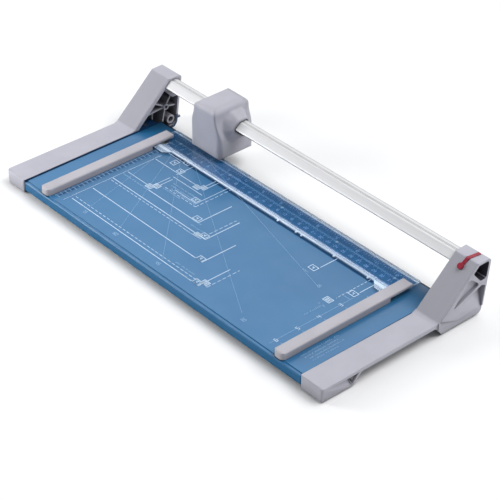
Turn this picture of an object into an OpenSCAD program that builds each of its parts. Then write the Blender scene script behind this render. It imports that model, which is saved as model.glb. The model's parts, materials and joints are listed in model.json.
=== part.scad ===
// Rotary paper trimmer: sheet steel table, two end caps, aluminium guide rail,
// sliding cutting head with a round blade, clear clamp strip and rail lock clip.
// X runs along the rail, +Y points from the user to the rail, Z is up from the desk.

/* [Base] */
// Overall length over the two end caps
overall_length = 450; // [446:1:460]
// Cutting length, measured between the two alignment bars
cutting_length = 320; // [312:1:322]
// Height of the end cap arms above the desk
arm_top = 15; // [14.8:0.1:15.5]
// Height of the rail towers above the desk
tower_top = 58; // [57.8:0.1:59]
// Height of the paper surface above the desk
table_top = 13.5; // [13.3:0.1:13.5]
// Thickness of the table sheet
sheet = 1.2; // [1:0.1:1.3]

/* [Cutting head] */
// Place of the head's middle along the rail
head_x = -118; // [-170:1:170]
// Radius of the round blade
blade_r = 14; // [13.5:0.1:14.2]
// Thickness of the round blade
blade_t = 0.5; // [0.3:0.1:0.5]

/* [Clamp strip] */
// Thickness of the clear strip
strip_t = 1.5; // [1.2:0.1:1.6]
// Gap between the raised strip and the table
strip_gap = 1.1; // [0.8:0.1:1.1]

/* [Fits] */
// Running clearance of pins and of the rail bushes
run = 0.05; // [0.03:0.01:0.08]
// Assembly clearance of parts that do not move on each other
fit = 0.1; // [0.05:0.01:0.15]

/* [Hidden] */
$fn = 48;
half = overall_length / 2;
front_y = -98.5;
rear_y = 98.5;
desk_gap = 0.5;
crease_y = 35.5;
slope_rise = 0.911;
slope_angle = atan(slope_rise);
slope_top_y = crease_y + (tower_top - arm_top) / slope_rise;
cap_in = half - 28.2;
cap_out = half - 1;
side_wall = 5;
table_half = cap_in - 0.4;
tab_end = cap_in + 11.2;
tab_front = -90;
tab_rear = 66;
cut_y = 71.8;
bar_w = 12.5;
bar_in = cutting_length / 2;
bar_top = 20.5;
bar_front = -96.5;
bar_rear = 58;
strip_z = table_top + strip_gap;
strip_half = bar_in + 10;
rail_end = cap_in + 11.7;
rail_centre = [86.4, 49.4];
rail_shape = [[77.1, 49.7], [83.9, 55.5], [93.6, 55.5], [92.2, 40.4], [87.1, 40.4]];
rail_radii = [1.6, 2, 2.2, 2.4, 2.4];
tunnel_shape = [[76.9, 49.5], [83.7, 55.7], [96.2, 55.7], [93.8, 38.3], [86.6, 38.3]];
tunnel_radii = [1.8, 2, 2.4, 3, 3];
blade_z = table_top + blade_r - 2.5;
blade_y = cut_y + fit;
screw_x = cap_in + 6.2;
screw_ys = [-80, 55];
foot_x = cap_in + 14.2;
foot_ys = [-80, 66];
bar_screw_ys = [-74, 8];
strip_screw_xs = [-150, -75, 0, 75, 150];
head_low = 16.9;
head_top = 70;
head_front = 62;
head_split = 101.5;
head_rear = 105.5;
clip_at = [half - 14, 75.5, arm_top + (75.5 - crease_y) * slope_rise];

// Rounded polygons: each corner becomes an arc of the given radius.
function unit(v) = v / norm(v);
function arc_turn(a, b) = (b - a + 540) % 360 - 180;
function corner(a, b, c, r, n) =
    let (u = unit(a - b),
         v = unit(c - b),
         half_angle = acos(u * v) / 2,
         reach = r / tan(half_angle),
         centre = b + unit(u + v) * r / sin(half_angle),
         p = b + u * reach - centre,
         q = b + v * reach - centre,
         start = atan2(p[1], p[0]),
         turn = arc_turn(start, atan2(q[1], q[0])))
    [for (i = [0 : n]) centre + r * [cos(start + turn * i / n), sin(start + turn * i / n)]];
function rounded(pts, radii, n = 5) =
    let (k = len(pts))
    [for (i = [0 : k - 1]) each corner(pts[(i + k - 1) % k], pts[i], pts[(i + 1) % k], radii[i], n)];
function about(pts, centre, s) = [for (p = pts) centre + (p - centre) * s];

// The origin lies under the middle of the whole trimmer.
module centred() translate([0, -(front_y + head_rear) / 2, 0]) children();

// Extrusions of a side view along X and of a front view along Y.
module along_x(x0, x1) translate([x0, 0, 0]) rotate([90, 0, 90]) linear_extrude(x1 - x0) children();
module along_y(y0, y1) translate([0, y1, 0]) rotate([90, 0, 0]) linear_extrude(y1 - y0) children();
module block(x0, x1, y0, y1, z0, z1) translate([x0, y0, z0]) cube([x1 - x0, y1 - y0, z1 - z0]);
module pin_x(x0, x1, y, z, r) translate([x0, y, z]) rotate([0, 90, 0]) cylinder(h = x1 - x0, r = r);
module pin_y(x, y0, y1, z, r) translate([x, y0, z]) rotate([-90, 0, 0]) cylinder(h = y1 - y0, r = r);
module pin_z(x, y, z0, z1, r) translate([x, y, z0]) cylinder(h = z1 - z0, r = r);
module rail_outline(s) polygon(rounded(about(rail_shape, rail_centre, s), rail_radii * s));
module tunnel_outline(s) polygon(rounded(about(tunnel_shape, rail_centre, s), tunnel_radii * s));

// Rib between two points of the side view.
module rib(a, b, x0, x1, t = 1.6) {
    d = b - a;
    translate([0, a[0], a[1]])
        rotate([atan2(d[1], d[0]), 0, 0])
            block(x0, x1, 0, norm(d), -t / 2, t / 2);
}

// ---- End caps -------------------------------------------------------------

module cap_side_view() polygon(rounded(
    [[front_y, desk_gap], [front_y, arm_top], [crease_y, arm_top], [slope_top_y, tower_top],
     [rear_y + 0.4, tower_top], [rear_y - 7, 5], [rear_y - 11, desk_gap], [43.6, desk_gap],
     [34.5, 11.5], [-53.4, 11.5], [-63.8, desk_gap]],
    [1, 1.6, 9, 3, 3.6, 5, 3, 1, 2.5, 2.5, 1]));

module tower_hollow_view() polygon(rounded(
    [[40.5, 3.5], [40.5, 12.9], [84.9, 55.4], [96, 55.4], [89.6, 6.4], [86.2, 3.5]],
    [1, 3, 2, 2, 3, 2]));

module cap_shell() {
    intersection() {
        along_x(cap_in, cap_out) cap_side_view();
        linear_extrude(70) polygon(rounded(
            [[cap_in, front_y], [cap_out, front_y], [cap_out, 110], [cap_in, 110]], [2, 3, 1, 1]));
        along_y(-110, 110) polygon(rounded(
            [[cap_in, desk_gap], [cap_out, desk_gap], [cap_out, 70], [cap_in, 70]], [0.6, 2.6, 1, 1]));
    }
    intersection() {
        along_x(cap_out - 1, half) cap_side_view();
        along_x(cap_out - 1, half) polygon([[37, 8], [37, 60], [100, 60], [100, 10], [88, 10]]);
    }
}

// Panel below the ridge: a flat part that leans in towards the ridge and a deep part that leans in to the rear.
pocket_view = [[55, 19.2], [56.5, 18.4], [88.6, 5.4], [90.8, 9], [93.4, 31], [88.6, 33.2]];
module leaning_pocket(grow, depth) intersection() {
    along_x(half - 14, half + 1)
        polygon(rounded(about(pocket_view, [80, 18], grow), [0.2, 0.2, 1.5, 2, 1.5, 2]));
    union() {
        translate([half - depth, 56, 18.6]) rotate([-22, 0, 0]) rotate([0, -5, 0]) block(0, 20, -8, 60, -6, 50);
        translate([half - depth - 0.5, 74, 26]) rotate([-51, 0, 0]) rotate([0, -24, 0]) block(0, 25, -20, 60, -0.5, 50);
    }
}
// Panels and creases on the outer face of the tower and feet.
module outer_panels() {
    along_x(half - 2.8, half + 1)
        polygon(rounded([[54, 22], [70.4, 43.6], [75, 44.8], [84.2, 37], [84.6, 34.4]], [0.6, 2, 2, 1.5, 1]));
    leaning_pocket(1, 0);
    intersection() {
        along_x(half - 3, half + 1) polygon([[39, 17], [64, 7.4], [72, 2.6], [43, 2.6]]);
        translate([half, 0, 2.6]) rotate([0, -8, 0]) block(0, 9, 30, 80, -1, 30);
    }
    // Two panels of the front foot on either side of a crease, and the opening into its hollow
    translate([cap_out, -97, 12.4]) rotate([-19.4, 0, 0]) {
        intersection() {
            rotate([19.4, 0, 0]) along_x(-6, 2) polygon([[0.4, 0.2], [28.3, -0.4], [32.4, -10], [16.9, -6.4]]);
            rotate([0, -13, 0]) block(0, 9, -4, 50, 0, 20);
        }
        intersection() {
            rotate([19.4, 0, 0]) along_x(-6, 2) polygon([[0.4, -0.6], [31.6, -11.1], [0.4, -11.1]]);
            rotate([0, 6, 0]) block(0, 9, -4, 50, -20, 0);
        }
    }
    along_x(cap_out - 4, half + 1) polygon([[-68.7, 11.9], [-56.6, 11.9], [-64.4, 3.6]]);
}

module right_cap_body(open_end) {
    difference() {
        union() {
            difference() {
                cap_shell();
                difference() {
                    along_x(cap_in - 1, half - side_wall) tower_hollow_view();
                    leaning_pocket(1.14, 2.2);
                }
                block(cap_in + 2.7, cap_out - 2.5, front_y + 2.5, -50, 3.5, 11.5);
            }
            along_x(cap_in + 0.6, half - side_wall + 1) tunnel_outline(1.24);
            ribs_x = cap_in + 3;
            rib([79, 26.5], [61.5, 37.2], ribs_x, half - side_wall + 1);
            rib([79, 26.5], [51, 24.5], ribs_x, half - side_wall + 1);
            rib([79, 26.5], [86, 37], ribs_x, half - side_wall + 1);
            rib([79, 26.5], [73.5, 4], ribs_x, half - side_wall + 1);
            rib([79, 26.5], [93, 24], ribs_x, half - side_wall + 1);
            rib([66, 4], [68, 40.5], ribs_x + 6, half - side_wall + 1);
            pin_x(cap_in + 1.6, half - side_wall + 1, 79, 26.5, 3.3);
            pin_x(cap_in + 1.6, half - side_wall + 1, 84.4, 10.4, 4.8);
            block(cap_in, cap_in + 2, rear_y - 8, rear_y - 3, 9.5, 11.5);
            for (y = screw_ys) pin_z(screw_x, y, desk_gap, table_top - sheet - fit, 4.6);
        }
        along_x(cap_in - 1, half + 1) tunnel_outline(1);
        pin_x(cap_in + 1, cap_in + 14, 79, 26.5, 1.9);
        pin_x(cap_in + 1, cap_in + 16, 84.4, 10.4, 3);
        block(cap_in - 1, tab_end + 0.5, tab_front - 0.5, tab_rear + 0.5, table_top - sheet - fit, table_top + fit);
        for (y = screw_ys) {
            pin_z(screw_x, y, desk_gap - 1, table_top, 2 + fit);
            pin_z(screw_x, y, desk_gap - 1, 6, 4);
        }
        for (y = foot_ys) pin_z(foot_x, y, desk_gap - 1, 2, 6 + fit);
        outer_panels();
    }
    // Saddle that carries the rail inside the tunnel
    difference() {
        along_x(cap_in + 0.6, rail_end - 1) tunnel_outline(1.02);
        along_x(cap_in, rail_end) rail_outline(1.006);
        block(cap_in, rail_end, 60, 110, 55.3, 60);
    }
    if (!open_end)
        difference() {
            along_x(rail_end + fit, rail_end + 3) tunnel_outline(1.02);
            pin_x(rail_end - 1, rail_end + 4, rail_centre[0] + 1, rail_centre[1], 2 + fit);
        }
}

module clip_local() translate(clip_at) rotate([slope_angle, 0, 0]) children();
// Strap, disc and locking leg of the clip, grown by g on every side.
module clip_shape(g, leg_depth) {
    clip_local() {
        translate([0, 0, -0.9 - g]) cylinder(h = 3 + 2 * g, r = 2.9 + g);
        rotate([0, 0, -8]) {
            block(-1.8 - g, 1.8 + g, 0, 10.6 + g, -0.9 - g, 0.6 + g);
            block(-1.7 - g, 1.7 + g, 3.6 - g, 8.4 + g, -leg_depth, -0.5);
        }
    }
    translate([clip_at[0] + 1.4, slope_top_y - 1, 0])
        rotate([0, 0, -8.5])
            block(-1.8 - g, 1.8 + g, -0.2, 13.6 + g, tower_top - 0.9 - g, tower_top + 0.6 + g);
}

module left_end_cap() color("#c5c4ce") centred() mirror([1, 0, 0]) right_cap_body(false);
module right_end_cap() color("#c5c4ce") centred() difference() {
    right_cap_body(true);
    clip_shape(0.15, 8);
}
module lock_clip() color("#b02338") centred() clip_shape(0, 12);

module cap_screw() {
    cylinder(h = table_top - 6 - 0.2, r = 2);
    translate([0, 0, -2.4]) cylinder(h = 2.4, r = 3.6);
}
module end_cap_screws() color("#9a9ca0") centred()
    for (x = [-screw_x, screw_x], y = screw_ys) translate([x, y, 6]) difference() {
        cap_screw();
        translate([0, 0, -3]) cylinder(h = 2, r = 1.5, $fn = 6);
    }
module rubber_feet() color("#303236") centred()
    for (x = [-foot_x, foot_x], y = foot_ys) pin_z(x, y, 0, 2, 6);

// ---- Table ----------------------------------------------------------------

module table_side_view() polygon([[cut_y - 1.6, table_top], [-94.2, table_top], [-94.7, table_top - 0.9],
    [-96.8, table_top - 0.9], [-97.5, table_top - 1.6], [-97.5, 3.8], [-96.3, 3.8], [-96.3, table_top - 2.1],
    [-93.8, table_top - 2.1], [-93.3, table_top - sheet], [cut_y - 1.6, table_top - sheet]]);

module table_plate() color("#3f7fb8") centred() difference() {
    union() {
        along_x(-table_half, table_half) table_side_view();
        block(-tab_end, tab_end, tab_front, tab_rear, table_top - sheet, table_top);
    }
    for (x = [-screw_x, screw_x], y = screw_ys) pin_z(x, y, 0, 20, 2 + run);
    for (x = [-1, 1], y = bar_screw_ys) pin_z(x * (bar_in + bar_w / 2), y, 0, 20, 1.5 + run);
    for (x = strip_screw_xs) pin_z(x, 58, 0, 20, 1.5 + run);
}

module counter_blade() color("#8b8f94") centred() difference() {
    union() {
        block(-table_half, table_half, 50, cut_y, table_top - sheet - 2, table_top - sheet);
        block(-table_half, table_half, cut_y - 1.6, cut_y, table_top - sheet - 1, table_top);
    }
    for (x = strip_screw_xs) pin_z(x, 58, 0, 20, 1.5 + run);
}
module small_screw(x, y, z, length) translate([x, y, z]) difference() {
    union() {
        cylinder(h = length, r = 1.5);
        translate([0, 0, -1.6]) cylinder(h = 1.6, r = 2.8);
    }
    translate([0, 0, -1.7]) cylinder(h = 1, r = 1.1, $fn = 6);
}
module counter_blade_screws() color("#9a9ca0") centred()
    for (x = strip_screw_xs) small_screw(x, 58, table_top - sheet - 2, sheet + 1.9);

// ---- Alignment bars -------------------------------------------------------

module bar_body() difference() {
    intersection() {
        translate([0, 0, table_top]) linear_extrude(bar_top - table_top) polygon(rounded(
            [[bar_in, bar_front], [bar_in + bar_w, bar_front], [bar_in + bar_w, bar_rear], [bar_in, bar_rear]],
            [4.5, 4.5, 1.2, 1.2]));
        along_y(bar_front - 1, bar_rear + 1) polygon(rounded(
            [[bar_in, table_top - 1], [bar_in, bar_top], [bar_in + bar_w, bar_top], [bar_in + bar_w, table_top - 1]],
            [0.3, 1.8, 1.8, 0.3]));
        along_x(bar_in - 1, bar_in + bar_w + 1) polygon(rounded(
            [[bar_front, table_top - 1], [bar_front, bar_top], [bar_rear, bar_top], [bar_rear, table_top - 1]],
            [0.3, 2.4, 1.2, 0.3]));
    }
    block(bar_in - 1, bar_in + bar_w + 1, 30.5, bar_rear + 1, table_top - 1, strip_z + 3);
    for (y = bar_screw_ys) pin_z(bar_in + bar_w / 2, y, table_top - 1, table_top + 5, 1.5 + run);
}
module left_alignment_bar() color("#b9b6b8") centred() mirror([1, 0, 0]) bar_body();
module right_alignment_bar() color("#b9b6b8") centred() bar_body();
module bar_screws() color("#9a9ca0") centred()
    for (x = [-1, 1], y = bar_screw_ys)
        small_screw(x * (bar_in + bar_w / 2), y, table_top - sheet, sheet + 4.6);

// ---- Clamp strip ----------------------------------------------------------

module pointer(x) translate([x, 40, strip_z]) linear_extrude(strip_t)
    polygon([[-1.1, 0.2], [-0.6, -2], [0.6, -2], [1.1, 0.2]]);
module clamp_strip() color([0.8, 0.9, 1, 0.35]) centred() {
    translate([0, 0, strip_z]) linear_extrude(strip_t) polygon(
        [[-strip_half, 33], [-149, 33], [-142, 40], [142, 40], [149, 33], [strip_half, 33],
         [strip_half, 70.2], [-strip_half, 70.2]]);
    along_x(-141, 141) polygon(
        [[40, strip_z + strip_t - 0.2], [40.6, strip_z + 2.4], [43.4, strip_z + 2.4], [45.4, strip_z + strip_t - 0.2]]);
    for (x = [15, 40, 47.5, 91, 135]) pointer(x);
}
module leaf_spring(x) along_y(36, 52) polygon(
    [[x - 5, table_top + 0.02], [x - 4.6, table_top + 0.02], [x, strip_z - 0.32], [x + 4.6, table_top + 0.02],
     [x + 5, table_top + 0.02], [x + 5, table_top + 0.2], [x + 4.8, table_top + 0.3], [x, strip_z - 0.02],
     [x - 4.8, table_top + 0.3], [x - 5, table_top + 0.2]]);
module clamp_springs() color("#c9ccd0") centred() for (x = [-1, 1]) leaf_spring(x * (bar_in + 4));

// ---- Guide rail -----------------------------------------------------------

module guide_rail() color("#d9dce0") centred() difference() {
    union() {
        difference() {
            along_x(-rail_end, rail_end) rail_outline(1);
            along_x(-rail_end - 1, rail_end + 1) rail_outline(0.74);
        }
        pin_x(-rail_end, rail_end, rail_centre[0] + 1, rail_centre[1], 3.4);
        along_x(-rail_end, rail_end) polygon([[86.9, 54.9], [87.9, 54.9], [87.9, 51], [86.9, 51]]);
        along_x(-rail_end, rail_end) polygon([[87, 41], [88.2, 41], [88.2, 47], [87, 47]]);
    }
    pin_x(-rail_end - 1, rail_end + 1, rail_centre[0] + 1, rail_centre[1], 2 + run);
    for (y = [86.4, 87.8, 91.4]) block(-rail_end - 1, rail_end + 1, y - 0.25, y + 0.25, 55.2, 56);
}
module rail_screw() color("#9a9ca0") centred() difference() {
    union() {
        pin_x(-rail_end - 3, -rail_end + 14, rail_centre[0] + 1, rail_centre[1], 2);
        pin_x(-rail_end - 5.4, -rail_end - 3, rail_centre[0] + 1, rail_centre[1], 3.6);
    }
    translate([-rail_end - 6, rail_centre[0] + 1, rail_centre[1]])
        rotate([0, 90, 0]) cylinder(h = 2, r = 1.5, $fn = 6);
}

// ---- Cutting head ---------------------------------------------------------

module head_front_view(inset) polygon(rounded(
    [[-22.6 + inset, head_low - inset], [22.6 - inset, head_low - inset], [22.6 - inset, 40], [15.4 - inset, 59],
     [15.4 - inset, head_top - inset], [-15.4 + inset, head_top - inset], [-15.4 + inset, 59], [-22.6 + inset, 40]],
    [4.5, 4.5, 40, 24, 6.5 - inset / 2, 6.5 - inset / 2, 24, 40], 10));
module head_side_view(inset) polygon(rounded(
    [[head_front + inset, head_low - inset], [head_front + inset, head_top - inset],
     [head_rear - inset, head_top - inset], [head_rear - inset, head_low - inset]],
    [3.4, 6.5 - inset / 2, 5 - inset / 2, 2], 8));
module head_plan_view(inset) polygon(rounded(
    [[-22.6 + inset, head_front + inset], [22.6 - inset, head_front + inset],
     [22.6 - inset, head_rear - inset], [-22.6 + inset, head_rear - inset]],
    [6 - inset / 2, 6 - inset / 2, 4.5 - inset / 2, 4.5 - inset / 2], 8));
module head_form(inset) intersection() {
    along_y(head_front - 1, head_rear + 1) head_front_view(inset);
    along_x(-30, 30) head_side_view(inset);
    linear_extrude(90) head_plan_view(inset);
}
// Wide root of the collar on the side of the head and its mouth around the rail.
collar_root = [[65, 22], [64.5, 46], [72, 58], [82, 63.5], [97, 63.5], [101.4, 57], [101.4, 30], [92, 24]];
collar_mouth = [[75.9, 49.5], [83.4, 56.7], [94.3, 56.7], [92.9, 39.2], [86.7, 39.2]];
module rail_collar(side) hull() {
    along_x(side * 14.6 - 0.5, side * 14.6 + 0.5) polygon(rounded(collar_root, [5, 12, 8, 7, 3, 2, 2, 6], 5));
    along_x(side * 27.5 - 0.5, side * 27.5 + 0.5) polygon(rounded(collar_mouth, [2.4, 3, 2.8, 3.2, 3], 5));
}
module head_screw_places() for (p = [[-11.4, 65.2], [11.4, 65.2], [-18.2, 22.5], [18.2, 22.5]])
    translate([p[0], 0, p[1]]) children();

module head_cover() color("#c1c0ca") centred() translate([head_x, 0, 0]) difference() {
    union() {
        difference() {
            union() {
                head_form(0);
                rail_collar(-1);
                rail_collar(1);
            }
            head_form(2.2);
            block(-20.4, 20.4, 64.2, 110, 10, 30);
            block(-30, 30, head_split, 120, 0, 80);
        }
        head_screw_places() pin_y(0, 74.5, head_split, 0, 2.8);
        for (x = [-12, 12]) block(x - 0.8, x + 0.8, 63, 74.1, 42, 50);
    }
    along_x(-30, 30) rail_outline(1.09);
    for (side = [-1, 1]) along_x(side * 27 - 2, side * 27 + 2) rail_outline(1.13);
    head_screw_places() pin_y(0, 86, head_split + 1, 0, 1.2 + run);
}
module head_rear_cover() color("#c1c0ca") centred() translate([head_x, 0, 0]) difference() {
    union() {
        intersection() {
            head_form(0);
            block(-30, 30, head_split + 0.05, 120, 0, 80);
        }
        for (x = [-8, 8]) block(x - 1, x + 1, 98, head_split + 1, 34, 58);
    }
    head_screw_places() {
        pin_y(0, head_split - 1, 110, 0, 1.2 + fit);
        pin_y(0, 103.6, 110, 0, 2.7);
    }
}
module head_screws() color("#9a9ca0") centred() translate([head_x, 0, 0]) head_screw_places() difference() {
    union() {
        pin_y(0, 88, 103.6, 0, 1.2);
        pin_y(0, 103.6, 105, 0, 2.5);
    }
    translate([0, 106, 0]) rotate([90, 0, 0]) cylinder(h = 2, r = 1, $fn = 6);
}
module bush(side) translate([side * 9.8, 0, 0]) along_x(-3, 3) difference() {
    rail_outline(1.3);
    rail_outline(1 + run / 7);
}
module glide_bushes() color("#26282c") centred() translate([head_x, 0, 0]) {
    bush(-1);
    bush(1);
}
module head_carriage() color("#4a4d52") centred() translate([head_x, 0, 0]) difference() {
    union() {
        block(-12.9, 12.9, 74.3, 97.8, 33.6, 59);
        pin_y(0, 74.3, 90, blade_z, 6);
        block(-5, 5, 75, 90, blade_z, 35);
    }
    along_x(-14, 14) rail_outline(1.12);
    for (side = [-1, 1]) translate([side * 9.85, 0, 0]) along_x(-3.1, 3.1) rail_outline(1.31);
    pin_y(0, 70, 100, blade_z, 2.5 + run);
}
module press_shoe() color("#e6e7ea") centred() translate([head_x, 0, 0]) union() {
    block(-15, 15, 64.3, 70.6, strip_z + strip_t + 0.3, 20);
    for (x = [-13.4, 13.4]) block(x - 1.6, x + 1.6, 64.3, 68.6, 19, 30);
}

// ---- Blade ----------------------------------------------------------------

module at_blade() translate([head_x, 0, blade_z]) rotate([-90, 0, 0]) children();
module blade_axle() color("#a9abb0") centred() at_blade() difference() {
    union() {
        translate([0, 0, blade_y - 3.2]) cylinder(h = 90 - blade_y + 3.2, r = 2.5);
        translate([0, 0, 90.05]) cylinder(h = 1.8, r = 4);
        translate([0, 0, 89]) cylinder(h = 2, r = 2.5);
    }
    translate([0, 0, blade_y - 1.4]) difference() {
        cylinder(h = 0.8, r = 4);
        cylinder(h = 0.8, r = 1.9);
    }
}
module retaining_ring() color("#3a3c40") centred() at_blade() translate([0, 0, blade_y - 1.35]) difference() {
    cylinder(h = 0.7, r = 4.4);
    translate([0, 0, -1]) cylinder(h = 3, r = 1.95);
    translate([-1, 1, -1]) cube([2, 6, 3]);
}
module blade_hub() color("#2c2e33") centred() at_blade() difference() {
    union() {
        translate([0, 0, blade_y - 0.5]) cylinder(h = 1, r = 4);
        translate([0, 0, blade_y + blade_t]) cylinder(h = 74 - blade_y - blade_t, r = 8);
    }
    translate([0, 0, blade_y - 2]) cylinder(h = 10, r = 2.5 + run);
}
module cutting_blade() color("#c4c8cc") centred() at_blade() difference() {
    translate([0, 0, blade_y]) rotate_extrude() polygon(
        [[4 + run / 2, 0], [blade_r, 0], [blade_r, 0.06], [blade_r - 0.9, blade_t], [4 + run / 2, blade_t]]);
    for (a = [0, 120, 240]) rotate([0, 0, a]) translate([10, 0, blade_y - 1]) cylinder(h = 3, r = 1);
}
module spring_washer() color("#b5b8bc") centred() at_blade() translate([0, 0, 74.03]) difference() {
    cylinder(h = 0.24, r = 4.6);
    translate([0, 0, -1]) cylinder(h = 3, r = 2.6);
}

table_plate();
counter_blade();
counter_blade_screws();
left_end_cap();
right_end_cap();
end_cap_screws();
rubber_feet();
guide_rail();
rail_screw();
left_alignment_bar();
right_alignment_bar();
bar_screws();
clamp_strip();
clamp_springs();
head_cover();
head_rear_cover();
head_screws();
head_carriage();
glide_bushes();
press_shoe();
blade_axle();
retaining_ring();
spring_washer();
blade_hub();
cutting_blade();
lock_clip();
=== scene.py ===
import json
import math
import random

import bmesh
import bpy
from mathutils import Matrix, Vector


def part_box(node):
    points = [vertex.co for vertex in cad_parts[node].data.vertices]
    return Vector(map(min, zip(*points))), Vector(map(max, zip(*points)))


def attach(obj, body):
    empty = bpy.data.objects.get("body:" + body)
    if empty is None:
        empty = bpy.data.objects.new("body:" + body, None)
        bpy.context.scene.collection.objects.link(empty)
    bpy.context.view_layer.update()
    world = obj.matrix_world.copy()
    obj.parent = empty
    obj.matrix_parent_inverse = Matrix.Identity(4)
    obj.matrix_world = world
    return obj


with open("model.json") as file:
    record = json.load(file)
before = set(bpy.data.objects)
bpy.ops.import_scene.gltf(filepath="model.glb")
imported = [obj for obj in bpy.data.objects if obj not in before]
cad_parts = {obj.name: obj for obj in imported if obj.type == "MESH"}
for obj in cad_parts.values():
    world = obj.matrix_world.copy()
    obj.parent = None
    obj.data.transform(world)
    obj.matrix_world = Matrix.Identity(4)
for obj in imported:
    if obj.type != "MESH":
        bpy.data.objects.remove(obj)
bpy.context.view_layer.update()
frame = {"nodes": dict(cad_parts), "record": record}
MM = 0.001
nodes = frame["nodes"]

# Places that the materials and the print refer to, in metres
SHEET_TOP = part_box("table_plate")[1].z
STRIP_LOW, STRIP_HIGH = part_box("clamp_strip")
ARM_IN = -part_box("left_end_cap")[1].x
RAIL_Y, RAIL_Z = [sum(c) / 2 for c in list(zip(*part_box("guide_rail")))[1:]]
# The clear strip's lip and ledge, measured back from its front edge
LIP, LEDGE, LEDGE_END = [STRIP_LOW.y + d for d in (0.0042, 0.0078, 0.0112)]
# The fine line and the rim along the strip's rear edge
REAR_LINE, REAR_RIM = [STRIP_HIGH.y - d for d in (0.0038, 0.0032)]
# Half the length of the strip between its two wider ends, and of the table under the strip
STRIP_HALF, COVER_HALF = 0.1405, 0.168


# ---------------------------------------------------------------- materials

def rgb(r, g, b):
    return (r, g, b, 1.0)


def tinted(colour, factor, lift=0.0):
    return rgb(*[min(1.0, c * factor + lift) for c in colour])


class Shader:
    """A node tree around one Principled BSDF, with a few short helpers."""

    def __init__(self, name):
        self.mat = bpy.data.materials.new(name)
        self.mat.use_nodes = True
        self.t = self.mat.node_tree
        self.bsdf = self.t.nodes["Principled BSDF"]
        self.coord = self.node("ShaderNodeTexCoord").outputs["Object"]

    # Building blocks

    def node(self, kind, **inputs):
        """A new node. Inputs are given by name, with _ for a space."""
        n = self.t.nodes.new(kind)
        for k, v in inputs.items():
            self.put(n.inputs[k.replace("_", " ")], v)
        return n

    def put(self, socket, value):
        if isinstance(value, bpy.types.NodeSocket):
            self.t.links.new(value, socket)
        else:
            socket.default_value = value

    def set(self, **inputs):
        for k, v in inputs.items():
            self.put(self.bsdf.inputs[k.replace("_", " ")], v)

    def math(self, op, a, b=0.0):
        n = self.node("ShaderNodeMath")
        n.operation = op
        self.put(n.inputs[0], a)
        self.put(n.inputs[1], b)
        return n.outputs[0]

    def times(self, a, b):
        return self.math("MULTIPLY", a, b)

    def vector(self, op, *parts):
        n = self.node("ShaderNodeVectorMath")
        n.operation = op
        for socket, part in zip(n.inputs, parts):
            self.put(socket, part)
        return n

    def mix(self, fac, a, b):
        n = self.node("ShaderNodeMix")
        n.data_type = "RGBA"
        self.put(n.inputs["Factor"], fac)
        self.put(n.inputs[6], a)
        self.put(n.inputs[7], b)
        return n.outputs[2]

    def plain(self, kind, colour):
        """The output of a second, plain shader."""
        return self.node(kind, Color=colour).outputs[0]

    def layer(self, fac, a, b):
        """Shader a, replaced by shader b where fac is 1."""
        n = self.node("ShaderNodeMixShader")
        for socket, value in zip(n.inputs, (fac, a, b)):
            self.put(socket, value)
        return n.outputs[0]

    def surface(self, shader):
        self.put(self.t.nodes["Material Output"].inputs["Surface"], shader)

    # Where on the object

    def xyz(self):
        return self.node("ShaderNodeSeparateXYZ", Vector=self.coord).outputs

    def normal(self):
        return self.node("ShaderNodeNewGeometry").outputs["Normal"]

    def facing(self):
        """The x, y and z of the surface normal."""
        return self.node("ShaderNodeSeparateXYZ", Vector=self.normal()).outputs

    def ramp(self, value, low, high, a=0.3, b=0.7):
        """low where value is a, high where it is b, clamped outside."""
        n = self.node("ShaderNodeMapRange", Value=value)
        n.inputs["From Min"].default_value = a
        n.inputs["From Max"].default_value = b
        n.inputs["To Min"].default_value = low
        n.inputs["To Max"].default_value = high
        return n.outputs["Result"]

    def band(self, value, low, high, soft=0.0004):
        """1 between low and high (metres), 0 outside."""
        up = self.ramp(value, 0, 1, low - soft, low + soft)
        down = self.ramp(value, 1, 0, high - soft, high + soft)
        return self.times(up, down)

    def shelter(self, distance, low=0.25, high=0.85):
        """0 deep inside hollows and corners, 1 on open faces: the mask for painted shade."""
        a = self.node("ShaderNodeAmbientOcclusion")
        a.samples = 6
        a.inputs["Distance"].default_value = distance
        return self.ramp(a.outputs["AO"], 0.0, 1.0, low, high)

    def rounded(self, radius, samples):
        """The surface normal with the edges averaged over a radius."""
        b = self.node("ShaderNodeBevel")
        b.samples = samples
        b.inputs["Radius"].default_value = radius
        return b.outputs["Normal"]

    def edges(self, radius):
        """1 along edges, 0 on flat faces."""
        d = self.vector("DOT_PRODUCT", self.rounded(radius, 4), self.normal())
        return self.ramp(d.outputs["Value"], 1.0, 0.0, 0.80, 0.99)

    # Grain and relief

    def scaled(self, x, y, z):
        m = self.node("ShaderNodeMapping", Vector=self.coord)
        m.inputs["Scale"].default_value = (x, y, z)
        return m.outputs["Vector"]

    def noise(self, scale, detail=3.0, rough=0.5, vector=None):
        n = self.node("ShaderNodeTexNoise", Vector=vector or self.coord)
        n.inputs["Scale"].default_value = scale
        n.inputs["Detail"].default_value = detail
        n.inputs["Roughness"].default_value = rough
        return n.outputs["Fac"]

    def bump(self, height, strength, distance, normal=None):
        n = self.node("ShaderNodeBump", Height=height)
        n.inputs["Strength"].default_value = strength
        n.inputs["Distance"].default_value = distance
        if normal:
            self.put(n.inputs["Normal"], normal)
        return n.outputs["Normal"]


# How far hollows are looked into for their painted shade, and the band of radii in which the
# painted shade of the rail's tunnel ends
HOLLOW_DEPTH = 0.022
TUNNEL_RADIUS = (0.0130, 0.0136)
# Colours of painted shade in the rail's tunnel and on the arms' low walls, and of painted shadow in
# narrow gaps
TUNNEL_SHADE = rgb(0.045, 0.042, 0.055)
GAP_SHADE = rgb(0.012, 0.035, 0.085)
SHADOW_BLUE = rgb(0.008, 0.03, 0.08)


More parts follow.
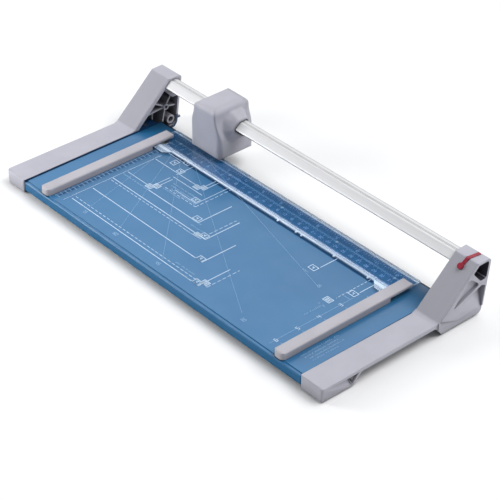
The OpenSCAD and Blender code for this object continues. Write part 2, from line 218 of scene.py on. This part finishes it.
def cap_shades(s, base, colour):
    """Painted shade on an end cap: inside the rail's tunnel, on the low wall of each arm and on the
    slopes up to the towers.
    """
    x, y, z = s.xyz()
    # Painted shade on walls that look at the rail's middle line, as inside a deep tunnel
    out = s.node("ShaderNodeCombineXYZ")
    y = s.math("SUBTRACT", y, RAIL_Y)
    up = s.math("SUBTRACT", z, RAIL_Z)
    s.put(out.inputs[1], y)
    s.put(out.inputs[2], up)
    unit = s.vector("NORMALIZE", out.outputs[0]).outputs[0]
    inward = s.ramp(s.vector("DOT_PRODUCT", unit, s.normal()).outputs["Value"], 1, 0, -0.5, -0.2)
    r2 = s.math("ADD", s.times(y, y), s.times(up, up))
    near = s.ramp(r2, 1, 0, TUNNEL_RADIUS[0] ** 2, TUNNEL_RADIUS[1] ** 2)
    base = s.mix(s.times(inward, near), base, TUNNEL_SHADE)
    # Painted shade on the low wall of each arm beside the table, standing in for a shadow gap
    inner = s.band(s.math("ABSOLUTE", x), ARM_IN - 0.0006, ARM_IN + 0.0003, 0.00005)
    low_wall = s.band(z, 0.0, SHEET_TOP + 0.0011, 0.0001)
    base = s.mix(s.times(inner, low_wall), base, GAP_SHADE)
    # Painted shade on the slope up to each tower, darker by the way it faces
    facing = s.facing()
    slope_shade = s.times(s.band(facing[2], 0.60, 0.86, 0.06), s.ramp(facing[1], 1, 0, -0.6, -0.4))
    return s.mix(slope_shade, base, tinted(colour, 0.80))


def moulded(name, colour, rough=0.5, grain=1.0, wear=0.25, cap=False, soft=0.0):
    """Injection moulded plastic: spark-eroded grain, slight mottling, lighter edges that are
    partly worn by rubbing and partly painted highlight, and painted shade in hollows and corners.
    cap adds the painted shade of an end cap. soft is the radius in metres over which
    blunt edges are shaded round."""
    s = Shader(name)
    base = s.mix(s.ramp(s.noise(28, 4), 0, 1), tinted(colour, 0.95), tinted(colour, 1.05, 0.01))
    # Lighter edges, partly worn by rubbing and partly painted highlight
    edge_wear_and_highlight = s.times(s.edges(0.0007), s.ramp(s.noise(260, 2), 0.0, wear * 2))
    base = s.mix(edge_wear_and_highlight, base, tinted(colour, 1.25, 0.05))
    # Painted shade in hollows and corners
    base = s.mix(s.shelter(HOLLOW_DEPTH, 0.15, 0.75), tinted(colour, 0.45), base)
    # An end cap also gets its painted shade
    if cap:
        base = cap_shades(s, base, colour)
    s.set(Base_Color=base, Specular_IOR_Level=0.4)
    s.set(Roughness=s.ramp(s.noise(90, 5, 0.6), rough - 0.07, rough + 0.07))
    fine = s.noise(2600, 2, 0.6)
    coarse = s.noise(900, 3, 0.55)
    height = s.math("ADD", s.times(fine, 0.5), coarse)
    around = s.rounded(soft, 8) if soft else None
    s.set(Normal=s.bump(height, 0.14 * grain, 0.0002, around))
    return s.mat


def brushed(name, colour, rough, along, depth, metal=1.0, underside_shade=False):
    """Drawn or ground metal with fine lines along one direction and faint handling marks.
    The underside flag adds painted shade to the faces that look down and to the fine grooves."""
    s = Shader(name)
    lines = s.noise(1.0, 5, 0.65, s.scaled(*along))
    smear = s.noise(35, 4, 0.6)
    tone = s.mix(s.ramp(lines, 0, 1), tinted(colour, 0.93), rgb(*colour))
    tone = s.mix(s.ramp(smear, 0, 0.25), tone, tinted(colour, 0.86))
    if underside_shade:
        # Painted shade on faces that look down, and in the fine grooves
        down = s.ramp(s.facing()[2], 1, 0, -0.45, -0.15)
        tone = s.mix(down, tone, rgb(0.06, 0.06, 0.07))
        tone = s.mix(s.shelter(0.004, 0.35, 0.9), rgb(0.12, 0.12, 0.13), tone)
    r = s.math("ADD", s.ramp(lines, rough - 0.06, rough + 0.08), s.ramp(smear, 0, 0.07))
    s.set(Base_Color=tone, Metallic=metal, Roughness=r)
    s.set(Normal=s.bump(lines, depth, 0.00008))
    return s.mat


def painted(name, colour, deep):
    """Satin powder coat: orange peel, a soft clear coat and worn edges, with painted shade and
    painted shadow as noted below.
    """
    s = Shader(name)
    x, y, z = s.xyz()
    x = s.math("ABSOLUTE", x)
    base = s.mix(s.ramp(s.noise(14, 4), 0, 1), rgb(*colour), rgb(*deep))
    speck = s.ramp(s.noise(1900, 2), 0.0, 0.10, 0.55, 0.8)
    base = s.mix(speck, base, tinted(colour, 1.5, 0.04))
    worn = s.times(s.edges(0.0006), s.ramp(s.noise(300, 3), 0.0, 0.35))
    base = s.mix(worn, base, rgb(0.35, 0.52, 0.72))
    # Painted shade near the towers, bars and head, and a painted reflection that makes it darker
    # towards the rear, but not under the clear strip
    covered = s.ramp(y, 0, 0.75, LEDGE - 0.0008, LEDGE + 0.0012)
    covered = s.times(covered, s.ramp(x, 1, 0, COVER_HALF, COVER_HALF + 0.003))
    unshaded = s.math("MAXIMUM", s.shelter(0.045, 0.3, 0.85), covered)
    unshaded = s.times(unshaded, s.ramp(y, 1.0, 0.80, -0.045, 0.060))
    base = s.mix(unshaded, tinted(colour, 0.28), base)
    # Painted shadow in the narrow gaps beside the arms and under the strip's front lip
    beside = s.band(x, ARM_IN - 0.0014, ARM_IN + 0.02, 0.0002)
    under_lip = s.band(y, LIP + 0.0004, LEDGE, 0.0005)
    under_lip = s.times(under_lip, s.ramp(x, 1, 0, STRIP_HALF - 0.0005, STRIP_HALF + 0.0025))
    gap = s.math("MAXIMUM", beside, s.times(under_lip, 0.8))
    base = s.mix(gap, base, SHADOW_BLUE)
    # The stepped front lip, which faces away from the light
    flange = s.ramp(s.facing()[1], 1, 0, -0.8, -0.4)
    base = s.mix(flange, base, tinted(colour, 0.80))
    s.set(Base_Color=base, Roughness=s.ramp(s.noise(60, 5, 0.6), 0.30, 0.40))
    s.set(Normal=s.bump(s.noise(420, 2, 0.4), 0.05, 0.0002))
    open_air = s.math("SUBTRACT", 1.0, gap)
    s.set(Specular_IOR_Level=s.times(open_air, s.ramp(flange, 0.6, 0.15, 0, 1)))
    s.set(Coat_Weight=s.times(open_air, s.ramp(flange, 0.25, 0.0, 0, 1)), Coat_Roughness=0.2)
    return s.mat


def frosted(s):
    """Where the strip gets painted highlight, a white glow on its lip, ledge, rear edge, cut edges,
    wider ends and tabs, and where the foot of its front wall gets painted shade.
    """
    x, y, z = s.xyz()
    x = s.math("ABSOLUTE", x)
    side = s.facing()[2]
    front = STRIP_LOW.y - 0.001
    lip = s.times(s.band(y, LIP, LEDGE, 0.0002), 0.95)
    ledge = s.times(s.band(y, LEDGE, LEDGE_END, 0.0004), 0.30)
    line = s.times(s.band(y, REAR_LINE, REAR_RIM, 0.0001), 0.7)
    rear = s.times(s.band(y, REAR_RIM, STRIP_HIGH.y + 0.001), 0.16)
    rim = s.times(s.edges(0.0004), 0.8)
    # Painted highlight on the two wider ends, and on the small pointer tabs in front of the lip
    wide = s.ramp(x, 0, 0.34, STRIP_HALF, STRIP_HALF + 0.002)
    horn = s.times(s.band(y, front, LEDGE_END - 0.0007), wide)
    tabs = s.times(s.band(y, front, LIP - 0.0003, 0.0001), s.ramp(side, 0, 0.85, 0.7, 0.9))
    tabs = s.times(tabs, s.ramp(x, 1, 0, STRIP_HALF - 0.002, STRIP_HALF - 0.0015))
    # Upright faces: painted highlight above, painted shade at the foot of the front wall
    walls = s.ramp(s.math("ABSOLUTE", side), 0.85, 0.0, 0.35, 0.75)
    upper = s.ramp(z, 0, 1, STRIP_LOW.z + 0.0006, STRIP_LOW.z + 0.0010)
    foot = s.times(walls, s.math("SUBTRACT", 1.0, upper))
    foot = s.times(foot, s.band(y, front, LEDGE + 0.0012))
    glow_mask = s.math("MAXIMUM", lip, ledge)
    for part in (line, rear, rim, horn, tabs, s.times(walls, upper)):
        glow_mask = s.math("MAXIMUM", glow_mask, part)
    streak = s.ramp(s.noise(1.0, 4, 0.6, s.scaled(60, 500, 500)), 0.6, 1.0)
    return s.times(glow_mask, streak), foot


def clear(name):
    """Polished clear acrylic. Its front ledge, rear edge and cut edges carry painted highlight,
    a milky white glow; the foot of its front wall carries painted shade."""
    s = Shader(name)
    s.set(Base_Color=rgb(0.88, 0.945, 0.99), IOR=1.45, Transmission_Weight=1.0)
    s.set(Roughness=s.ramp(s.noise(140, 5, 0.6), 0.02, 0.09), Specular_IOR_Level=0.35)
    scratches = s.noise(1.0, 4, 0.6, s.scaled(30, 900, 900))
    s.set(Normal=s.bump(scratches, 0.03, 0.00005))
    glow_mask, foot = frosted(s)
    # Painted highlight: a white diffuse and translucent layer where the strip is made to glow
    white = s.plain("ShaderNodeBsdfDiffuse", rgb(0.80, 0.90, 1.0))
    through = s.plain("ShaderNodeBsdfTranslucent", rgb(0.70, 0.84, 1.0))
    body = s.layer(s.times(glow_mask, 0.9), s.bsdf.outputs[0], s.layer(0.3, white, through))
    # Painted shade at the foot of the front wall
    shade = s.plain("ShaderNodeBsdfDiffuse", SHADOW_BLUE)
    body = s.layer(s.times(foot, 0.9), body, shade)
    # Light gets through to the table below as through tinted glass
    veil = s.plain("ShaderNodeBsdfTransparent", rgb(0.62, 0.70, 0.80))
    shadow_ray = s.node("ShaderNodeLightPath").outputs["Is Shadow Ray"]
    s.surface(s.layer(shadow_ray, body, veil))
    return s.mat


def ink(name, colour, wear=0.3):
    """Screen printed ink, slightly uneven and worn thin in places."""
    s = Shader(name)
    thin = s.ramp(s.noise(700, 3), 0.0, wear)
    s.set(Base_Color=s.mix(thin, rgb(*colour), rgb(0.16, 0.34, 0.60)))
    s.set(Roughness=s.ramp(s.noise(500, 2), 0.42, 0.55))
    s.set(Normal=s.bump(s.noise(1500, 2), 0.1, 0.0001))
    return s.mat


# One finish for each material slot of the record
LIGHT_GREY = (0.375, 0.373, 0.425)
PAINT_BLUE, DEEP_BLUE = (0.013, 0.138, 0.31), (0.010, 0.122, 0.285)
MATS = {
    "table_paint": painted("blue_powder_coat", PAINT_BLUE, DEEP_BLUE),
    "tool_steel": brushed("burnished_steel", (0.035, 0.038, 0.045), 0.38, (8, 1200, 1200), 0.18),
    "zinc_steel": brushed("zinc_steel", (0.60, 0.61, 0.62), 0.34, (500, 500, 500), 0.1),
    "grey_plastic": moulded("light_grey_moulding", LIGHT_GREY, 0.48, cap=True),
    "rubber": moulded("black_rubber", (0.025, 0.025, 0.028), 0.75, 1.6, 0.1),
    "rail_aluminium": brushed("drawn_aluminium", (0.68, 0.68, 0.69), 0.45, (3, 1500, 1500),
                              0.14, 0.4, True),
    "bar_plastic": moulded("warm_grey_moulding", (0.385, 0.372, 0.408), 0.5),
    "clear_plastic": clear("clear_acrylic"),
    "spring_steel": brushed("bright_spring_steel", (0.66, 0.67, 0.69), 0.25, (900, 20, 900), 0.1),
    "dark_plastic": moulded("glass_filled_dark", (0.055, 0.055, 0.065), 0.6, 1.3),
    "black_plastic": moulded("black_bearing_plastic", (0.02, 0.02, 0.023), 0.4, 0.6),
    "white_plastic": moulded("white_bearing_plastic", (0.74, 0.74, 0.76), 0.35, 0.5),
    "blade_steel": brushed("polished_blade_steel", (0.78, 0.79, 0.81), 0.14, (700, 700, 700), 0.06),
    "red_plastic": moulded("red_moulding", (0.26, 0.006, 0.025), 0.35, 0.6),
}
HEAD_GREY = moulded("head_grey_moulding", LIGHT_GREY, 0.48, soft=0.004)
slots = {p["node"]: p["material_slot"] for p in frame["record"]["subparts"]}
for name, obj in nodes.items():
    obj.data.materials.clear()
    obj.data.materials.append(HEAD_GREY if name == "head_cover" else MATS[slots[name]])


# ------------------------------------------------------ edges of CAD solids

# Edge radius of each node, in mm
ROUNDING = {
    "head_cover": 0.8, "head_rear_cover": 0.5,
    "left_alignment_bar": 0.5, "right_alignment_bar": 0.5, "table_plate": 0.35,
    "guide_rail": 0.12, "lock_clip": 0.4, "clamp_strip": 0.25, "head_carriage": 0.4,
    "press_shoe": 0.4, "glide_bushes": 0.2, "rubber_feet": 0.3, "blade_hub": 0.2,
    "head_screws": 0.2, "bar_screws": 0.2, "end_cap_screws": 0.2, "rail_screw": 0.2,
    "counter_blade_screws": 0.2, "blade_axle": 0.2, "counter_blade": 0.06,
    "retaining_ring": 0.08, "spring_washer": 0.04, "cutting_blade": 0.02, "clamp_springs": 0.03,
    "left_end_cap": 0.4, "right_end_cap": 0.4,
}
# Wider rounding along the top outline of the end caps
CAP_ROUNDING = 1.3
# Heights and places on an end cap, in mm
ARM_TOP, TOWER_TOP, SLOPE_START, SLOPE_RISE = 15, 58, 32.0, 0.911
CAP_INNER, CAP_OUTER = 196.8, 223.9


def bevel(o, name, width, segments, method, clamp):
    b = o.modifiers.new(name, "BEVEL")
    b.width = width * MM
    b.segments = segments
    b.limit_method = method
    b.use_clamp_overlap = clamp
    return b


def on_cap_outline(p, q):
    """Edges that run along the top of an end cap, and its two front corners."""
    def top(v):
        slope = ARM_TOP + (v.y - SLOPE_START) * SLOPE_RISE
        return (abs(v.z - ARM_TOP) < 0.1 and v.y < SLOPE_START + 1
                or abs(v.z - slope) < 0.35 and v.y > SLOPE_START - 4
                or abs(v.z - TOWER_TOP) < 0.1)
    flat = abs(p.x - q.x) < 0.02 and top(p) and top(q)
    return flat and (abs(abs(p.x) - CAP_INNER) < 0.05 or abs(p.x) > CAP_OUTER)


def mark_edges(o, keep):
    """Gives a bevel weight to the CAD edges whose two ends, in mm, pass the test."""
    points = [(o.matrix_world @ v.co) / MM for v in o.data.vertices]
    weights = o.data.attributes.new("bevel_weight_edge", "FLOAT", "EDGE")
    for e in o.data.edges:
        p, q = points[e.vertices[0]], points[e.vertices[1]]
        weights.data[e.index].value = 1.0 if keep(p, q) else 0.0


def soften(name, width):
    """Joins the tessellated faces, rounds the sharp edges and shades by angle."""
    o = nodes[name]
    for p in o.data.polygons:
        p.use_smooth = True
    weld = o.modifiers.new("weld", "WELD")
    weld.merge_threshold = 0.00001
    flat = o.modifiers.new("flat", "DECIMATE")
    flat.decimate_type = "DISSOLVE"
    flat.angle_limit = math.radians(0.4)
    if name.endswith("end_cap"):
        mark_edges(o, on_cap_outline)
        bevel(o, "outline", CAP_ROUNDING, 4, "WEIGHT", False)
    b = bevel(o, "round", width, 3, "ANGLE", True)
    b.angle_limit = math.radians(28)
    normals = o.modifiers.new("normals", "WEIGHTED_NORMAL")
    normals.mode = "FACE_AREA"
    normals.weight = 100
    normals.keep_sharp = False


for name, width in ROUNDING.items():
    soften(name, width)


# ---------------------------------------------------------------- table print

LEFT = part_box("left_alignment_bar")[1].x
CUT_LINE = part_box("counter_blade")[1].y
INK, THIN_INK = 0.00006, 0.00004
# The strokes of each digit, as corners of a box 0.55 wide and 1 high
SEGMENTS = {"a": ((0, 1), (.55, 1)), "b": ((.55, 1), (.55, .5)), "c": ((.55, .5), (.55, 0)),
            "d": ((0, 0), (.55, 0)), "e": ((0, 0), (0, .5)), "f": ((0, .5), (0, 1)),
            "g": ((0, .5), (.55, .5))}
DIGITS = {"0": "abcdef", "1": "bc", "2": "abged", "3": "abgcd", "4": "fgbc", "5": "afgcd",
          "6": "afgedc", "7": "abc", "8": "abcdefg", "9": "abcdfg"}


class Print:
    """Thin printed strokes on the table. dx runs to the right of the left bar and dy from
    the cutting line to the user, in mm. w is a stroke's width."""

    def __init__(self, name, height=INK):
        self.name, self.h = name, height
        self.bm = bmesh.new()

    def at(self, dx, dy):
        return Vector((LEFT + dx * MM, CUT_LINE - dy * MM, SHEET_TOP))

    def quad(self, pts):
        low = [self.bm.verts.new(p) for p in pts]
        top = [self.bm.verts.new(p + Vector((0, 0, self.h))) for p in pts]
        self.bm.faces.new(top)
        self.bm.faces.new(low[::-1])
        for i in range(len(pts)):
            j = (i + 1) % len(pts)
            self.bm.faces.new((low[i], low[j], top[j], top[i]))

    def line(self, a, b, w=0.5):
        a, b = self.at(*a), self.at(*b)
        side = (b - a).cross(Vector((0, 0, 1))).normalized() * (w * MM / 2)
        self.quad([a + side, b + side, b - side, a - side])

    def dashes(self, a, b, on=4.0, off=2.0, w=0.45):
        length = math.hypot(b[0] - a[0], b[1] - a[1])
        ux, uy = (b[0] - a[0]) / length, (b[1] - a[1]) / length
        t = 0.0
        while t < length:
            e = min(t + on, length)
            self.line((a[0] + ux * t, a[1] + uy * t), (a[0] + ux * e, a[1] + uy * e), w)
            t += on + off

    def frame(self, dx, dy, w, h, t=0.55):
        """Outlined box centred on a point."""
        x0, x1, y0, y1 = dx - w / 2, dx + w / 2, dy - h / 2, dy + h / 2
        self.line((x0 - t / 2, y0), (x1 + t / 2, y0), t)
        self.line((x0 - t / 2, y1), (x1 + t / 2, y1), t)
        self.line((x0, y0 + t / 2), (x0, y1 - t / 2), t)
        self.line((x1, y0 + t / 2), (x1, y1 - t / 2), t)

    def panel(self, dx, dy, w, h, rows=4):
        """Box filled with close strokes."""
        self.frame(dx, dy, w, h, 0.6)
        for i in range(1, rows):
            y = dy - h / 2 + h * i / rows
            self.line((dx - w / 2 + 0.8, y), (dx + w / 2 - 0.8, y), 0.55)
        for i in (-1, 1):
            self.line((dx + i * w / 6, dy - h / 2), (dx + i * w / 6, dy + h / 2), 0.5)

    def number(self, text, dx, dy, size, w=0.4, turn=0.0):
        """Digits read from the user's side, the first one's lower left at dx, dy."""
        c, s = math.cos(turn), math.sin(turn)
        for i, ch in enumerate(text):
            for k in DIGITS[ch]:
                ends = []
                for (u, v) in SEGMENTS[k]:
                    u, v = (u + i * 0.85) * size, v * size
                    ends.append((dx + u * c - v * s, dy - (u * s + v * c)))
                self.line(ends[0], ends[1], w)

    def scribble(self, dx, dy, length, height, rng, turn=0.0):
        """A row of tiny strokes that stands for small print without being readable."""
        c, s = math.cos(turn), math.sin(turn)

        def turned(u, v):
            return (dx + u * c - v * s, dy - u * s - v * c)
        u = 0.0
        while u < length:
            if rng.random() < 0.16:
                u += height * 0.6
                continue
            tall = height * (1.0 if rng.random() < 0.3 else 0.68)
            self.line(turned(u, 0), turned(u, tall), 0.22)
            start = turned(u, tall * rng.random())
            self.line(start, turned(u + height * 0.42, tall * rng.random()), 0.22)
            u += height * 0.62

    def done(self, material):
        """Puts the print on the table, riding on the base."""
        mesh = bpy.data.meshes.new(self.name)
        self.bm.to_mesh(mesh)
        self.bm.free()
        mesh.materials.append(material)
        o = bpy.data.objects.new(self.name, mesh)
        bpy.context.scene.collection.objects.link(o)
        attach(o, "base")


rng = random.Random(11)
WHITE_INK = ink("white_screen_ink", (0.62, 0.74, 0.86))
FAINT_INK = ink("faint_screen_ink", (0.30, 0.46, 0.66), 0.5)
# A dark ink for the painted shadow beside the left bar
BAR_SHADOW_INK = ink("bar_shadow_ink", (0.008, 0.055, 0.16), 0.1)
INCH = 25.4
QUARTER_TURN = math.pi / 2

p = Print("table_format_print")
# Photo formats in inches: an L from the left and from the cutting line, with solid lines
for w, h, from_dx, to_dy in ((127, 89, 53, 48), (152.4, 101.6, 14, 60),
                             (177.8, 127, 16, 86.5), (203.2, 152.4, 17, 115)):
    p.line((from_dx, h), (w, h), 0.65)
    p.line((w, h + 0.3), (w, to_dy), 0.65)
# Paper formats: dashed
for w, h, from_dx, to_dy in ((148, 105, 16, 60), (210, 148, 17, 110), (105, 74, 60, 28)):
    p.dashes((from_dx, h), (w, h))
    p.dashes((w, h), (w, to_dy))
p.line((70, 70), (101, 70), 0.5)
p.line((101, 70), (101, 28), 0.5)
# Card formats
for x in (84, 88):
    p.line((x, 28), (x, 45), 0.5)
p.line((15, 49.5), (80, 49.5), 0.5)
p.line((51, 56.6), (94, 56.6), 0.5)
p.line((50, 28), (50, 52), 0.5)
for x in (50, 54):
    p.line((x, 60), (x, 82), 0.5)
p.line((15, 84), (45, 84), 0.5)
p.line((15, 33), (39, 33), 0.5)
# Marks for long sheets at the right-hand end
for x in (10 * INCH, 12 * INCH):
    p.line((x, 31), (x, 52), 0.6)
p.dashes((297, 31), (297, 73), 3, 1.6)
p.line((13.3, 40), (13.3, 160), 0.3)
# Boxes beside the formats: with a digit, and filled
for b in ((41, 31, 7, 5.5), (32, 39.5, 6, 7.5), (48, 45, 7, 5.5), (121, 85, 7.5, 6),
          (147, 98, 7.5, 6), (173, 124, 7.5, 6), (198, 149.5, 7.5, 6), (96, 66, 7, 5.5),
          (250, 57, 8, 6), (302, 57, 8, 6)):
    p.frame(*b)
    p.number("4", b[0] - 1.0, b[1] + 1.5, 3.0, 0.5)
for b in ((80, 51, 7, 5.5), (85, 47, 6.5, 5.5), (49, 84, 7.5, 6), (53, 79, 7, 6),
          (142, 102, 7.5, 5.5), (204, 145, 7.5, 6), (294, 80, 8, 6)):
    p.panel(*b)
# Inch numerals at the right-hand side
for i, dy in enumerate((76, 102, 127, 152)):
    p.number(str(3 + i), 309, dy + 2, 4.0, 0.45, QUARTER_TURN)
p.done(WHITE_INK)

q = Print("table_fine_print")
# Angle rays from the crossing of the bar and the cutting line
for angle, reach, tag in ((75, 158, (43, 157)), (60, 176, (91, 158)), (45, 214, (153, 158)),
                          (30, 300, (267, 155)), (15, 282, (273, 72))):
    c, s = math.cos(math.radians(angle)), math.sin(math.radians(angle))
    q.line((34 * c, 34 * s), (reach * c, reach * s), 0.17)
    q.number(str(angle), tag[0] - 2.4, tag[1] + 1.6, 3.4, 0.4)
# Ruler along the left bar, in mm
for mm in range(20, 162):
    size = 7.5 if mm % 10 == 0 else 6.0 if mm % 5 == 0 else 3.6
    q.line((1.2, mm), (size, mm), 0.6 if mm % 5 == 0 else 0.25)
# Inch ruler along the right bar, in quarters
for k in range(4, 26):
    dy = INCH * k / 4
    q.line((318.5, dy), (312.5 if k % 4 == 0 else 315.5, dy), 0.3)
q.line((306.6, 62), (306.6, 160), 0.25)
# Small print beside the formats, and turned along the right bar
for dx, dy, length in ((60, 64.5, 40), (62, 68.5, 34), (66, 72.5, 36), (15, 90, 38),
                       (115, 90, 18), (125, 96.5, 20), (127, 106, 18), (162, 145, 26),
                       (177, 153, 18), (60, 77, 24), (244, 66, 9), (296, 66, 9), (288, 90, 12)):
    q.scribble(dx, dy, length, 2.0, rng)
q.scribble(297, 110, 22, 2.0, rng, QUARTER_TURN)
# Rows of very small print in the corner between the right bar and the end cap
for i, length in enumerate((44, 38, 42, 30)):
    q.scribble(338 + i * 3.6, 152 - i * 1.5, length, 1.9, rng, QUARTER_TURN)
q.done(FAINT_INK)

# Painted shadow of the left bar, as dark blocks beside it, one each 5 mm
d = Print("table_bar_shadow_blocks", THIN_INK)
for i in range(28):
    dy = 21.4 + 5 * i
    d.quad([d.at(0.6, dy + 2.4), d.at(5.4, dy + 2.4), d.at(5.4, dy), d.at(0.6, dy)])
d.done(BAR_SHADOW_INK)

# Rulers on the table under the clear strip: mm, then eighths of an inch
r = Print("strip_ruler_print")
for mm in range(1, 320):
    size = 4.4 if mm % 10 == 0 else 3.4 if mm % 5 == 0 else 2.2
    r.line((mm, 12.6), (mm, 12.6 + size), 0.28)
for cm in range(1, 32):
    tag = str(cm)
    r.number(tag, cm * 10 - len(tag) * 1.1, 21.4, 2.8, 0.4)
for n in range(1, 101):
    dx = n * INCH / 8
    size = 3.6 if n % 8 == 0 else 2.8 if n % 4 == 0 else 1.8
    r.line((dx, 6.2), (dx, 6.2 + size), 0.28)
    if n % 8 == 0:
        r.number(str(n // 8), dx + 1.0, 11.4, 3.0, 0.4)
r.done(FAINT_INK)


# ---------------------------------------------------------------- stage

FLOOR_REACH = 6.0
# Radius over which the pale sheet runs out into plain white
SHEET_END, WHITE_START = 0.45, 1.1
# Strength of the sky on the user's side and behind the object
SKY_FRONT, SKY_BACK = 0.17, 0.68
# Each light: size, radiance, place and the point it looks at
LIGHTS = {
    "key": ((1.6, 1.6), 4.6, (0.75, 0.75, 1.7), (0, 0, 0)),
    "back": ((2.2, 0.7), 1.2, (-1.3, 1.15, 1.45), (0, 0, 0.03)),
    "front_left": ((0.5, 0.4), 14.0, (-0.78, -0.68, 0.36), (-0.15, 0, 0.03)),
}

bpy.context.scene.view_settings.view_transform = "Standard"

floor_mesh = bpy.data.meshes.new("floor")
corners = [(-1, -1), (1, -1), (1, 1), (-1, 1)]
floor_mesh.from_pydata([(x * FLOOR_REACH, y * FLOOR_REACH, 0) for x, y in corners],
                       [], [(0, 1, 2, 3)])
floor = bpy.data.objects.new("floor", floor_mesh)
floor.location.z = -0.0002
bpy.context.scene.collection.objects.link(floor)
fs = Shader("pale_floor")
fs.set(Base_Color=rgb(0.80, 0.80, 0.803), Roughness=fs.ramp(fs.noise(5, 3), 0.55, 0.65))
away = fs.vector("LENGTH", fs.coord).outputs["Value"]
fade = fs.ramp(away, 0, 1, SHEET_END, WHITE_START)
fs.surface(fs.layer(fade, fs.bsdf.outputs[0], fs.node("ShaderNodeEmission").outputs[0]))
floor_mesh.materials.append(fs.mat)

# The sky lights from behind more than from the front, and is seen as plain white.
world = bpy.data.worlds.new("studio")
bpy.context.scene.world = world
world.use_nodes = True
wt = world.node_tree
sky = wt.nodes["Background"]
sky.inputs["Color"].default_value = (0.95, 0.97, 1.0, 1)
direction = wt.nodes.new("ShaderNodeSeparateXYZ")
wt.links.new(wt.nodes.new("ShaderNodeTexCoord").outputs["Generated"], direction.inputs[0])
falloff = wt.nodes.new("ShaderNodeMapRange")
falloff.inputs["From Min"].default_value = -1.0
falloff.inputs["To Min"].default_value = SKY_FRONT
falloff.inputs["To Max"].default_value = SKY_BACK
wt.links.new(direction.outputs["Y"], falloff.inputs["Value"])
wt.links.new(falloff.outputs["Result"], sky.inputs["Strength"])
seen = wt.nodes.new("ShaderNodeBackground")
pick = wt.nodes.new("ShaderNodeMixShader")
wt.links.new(wt.nodes.new("ShaderNodeLightPath").outputs["Is Camera Ray"], pick.inputs[0])
wt.links.new(sky.outputs[0], pick.inputs[1])
wt.links.new(seen.outputs[0], pick.inputs[2])
wt.links.new(pick.outputs[0], wt.nodes["World Output"].inputs["Surface"])

for name, (size, radiance, place, look) in LIGHTS.items():
    light = bpy.data.lights.new(name, "AREA")
    light.shape = "RECTANGLE"
    light.size, light.size_y = size
    light.energy = radiance * math.pi * size[0] * size[1]
    o = bpy.data.objects.new(name, light)
    bpy.context.scene.collection.objects.link(o)
    o.location = place
    o.rotation_euler = (Vector(look) - Vector(place)).to_track_quat("-Z", "Y").to_euler()

# The camera stands to the front right with a long lens.
AZIMUTH, ELEVATION = math.radians(48.9), math.radians(35.05)
DISTANCE, SIDE, RISE, LENS = 1.7498, 0.01234, -0.00703, 135.9
target = Vector((0, -0.002, 0))
level = math.cos(ELEVATION)
back = Vector((math.sin(AZIMUTH) * level, -math.cos(AZIMUTH) * level, math.sin(ELEVATION)))
right = Vector((math.cos(AZIMUTH), math.sin(AZIMUTH), 0))
up = back.cross(right)
camera_data = bpy.data.cameras.new("camera")
camera_data.lens = LENS
camera_data.sensor_width = 36
camera = bpy.data.objects.new("camera", camera_data)
bpy.context.scene.collection.objects.link(camera)
place = Matrix.Translation(target + back * DISTANCE + right * SIDE + up * RISE)
camera.matrix_world = place @ Matrix((right, up, back)).transposed().to_4x4()
bpy.context.scene.camera = camera
